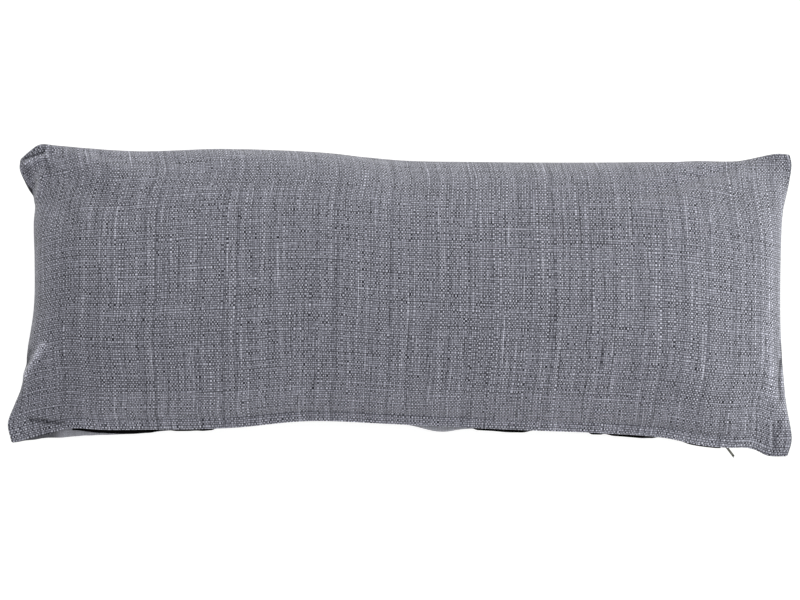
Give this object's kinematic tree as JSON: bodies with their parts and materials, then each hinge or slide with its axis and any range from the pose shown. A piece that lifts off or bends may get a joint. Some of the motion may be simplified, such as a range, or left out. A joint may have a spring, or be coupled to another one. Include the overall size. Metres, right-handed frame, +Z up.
{
  "type": "lumbar cushion",
  "caption": "Long, filled lumbar cushion with a rounded crown, drawn-in sides, limp corners and a lapped zip along one long edge.",
  "frame": {"origin": "middle of the part's length and width, on the surface that the back of the cushion lies on", "axes": "+X along the cushion's length, toward the end where the zip's slider stands; +Y across it, from the zipped edge to the far edge; +Z up out of its face"},
  "size_m": [0.8956, 0.3542, 0.1109],
  "materials": {
    "cover": "coarse slubbed plain weave, matt",
    "zip_tape": "woven tape and nylon coil, matt",
    "zip_metal": "dark lacquered, satin"
  },
  "bodies": {
    "root": {"cushion": "cover", "zip_tape": "zip_tape", "zip_slider": "zip_metal", "zip_pull": "zip_metal"}
  },
  "joints": []
}
